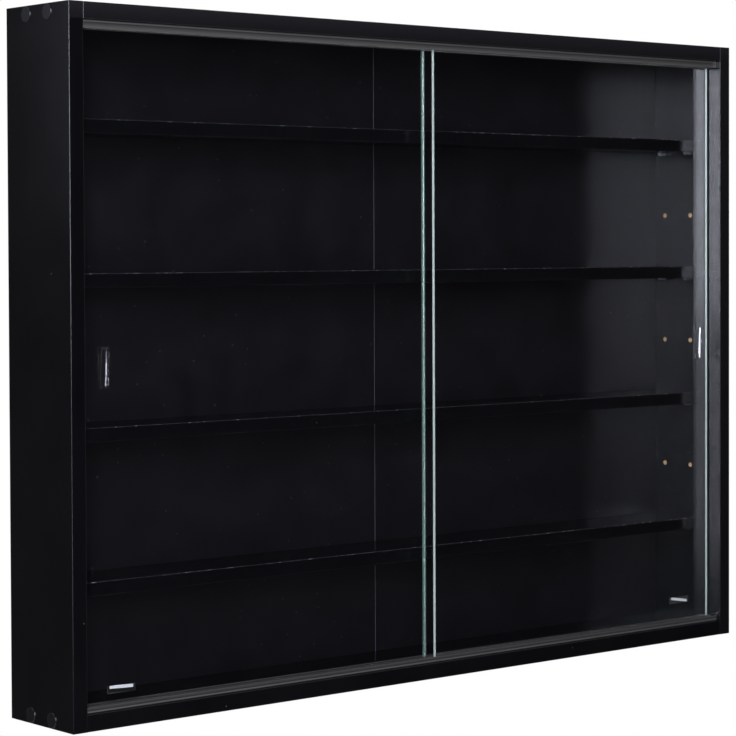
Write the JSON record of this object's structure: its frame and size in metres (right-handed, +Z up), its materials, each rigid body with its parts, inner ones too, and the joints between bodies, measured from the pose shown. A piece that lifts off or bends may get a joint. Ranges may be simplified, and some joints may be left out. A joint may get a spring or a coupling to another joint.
{
  "type": "wall display cabinet",
  "caption": "Shallow wall-hung display cabinet with sliding glass doors in double channels and thin shelves on plug-in supports.",
  "frame": {"origin": "on the wall plane, midway between the two hanger keyholes", "axes": "+X to the right seen from the front, +Y into the wall, +Z up"},
  "size_m": [0.8018, 0.0965, 0.6],
  "materials": {
    "black_laminate": "satin black melamine laminate on particle board, with matching edge banding",
    "black_hardboard": "black lacquered hardboard, bare brown at the rear",
    "track_plastic": "extruded dark grey plastic",
    "plated_steel": "zinc plated steel",
    "cap_plastic": "black printed film, slightly domed",
    "clear_glass": "clear tempered float glass with ground edges",
    "clear_plastic": "clear moulded acrylic",
    "sticker_paper": "plain printed film"
  },
  "bodies": {
    "carcass": {"left_side_panel": "black_laminate", "right_side_panel": "black_laminate", "top_panel": "black_laminate", "bottom_panel": "black_laminate", "shelf_1": "black_laminate", "shelf_2": "black_laminate", "shelf_3": "black_laminate", "shelf_4": "black_laminate", "back_panel_left": "black_hardboard", "back_panel_right": "black_hardboard", "top_track": "track_plastic", "bottom_track": "track_plastic", "shelf_supports_1": "plated_steel", "shelf_supports_2": "plated_steel", "shelf_supports_3": "plated_steel", "shelf_supports_4": "plated_steel", "hanger_left": "plated_steel", "hanger_right": "plated_steel", "hanger_screws": "plated_steel", "corner_screws": "plated_steel", "back_nails": "plated_steel", "screw_caps": "cap_plastic"},
    "left_door": {"left_glass_pane": "clear_glass", "left_door_pull": "clear_plastic", "left_door_sticker": "sticker_paper"},
    "right_door": {"right_glass_pane": "clear_glass", "right_door_pull": "clear_plastic", "right_door_sticker": "sticker_paper"}
  },
  "joints": [
    {"name": "left_door_slide", "type": "slide", "parent": "carcass", "child": "left_door", "axis": [1, 0, 0], "range_m": [0, 0.3816]},
    {"name": "right_door_slide", "type": "slide", "parent": "carcass", "child": "right_door", "axis": [1, 0, 0], "range_m": [-0.3816, 0]}
  ]
}
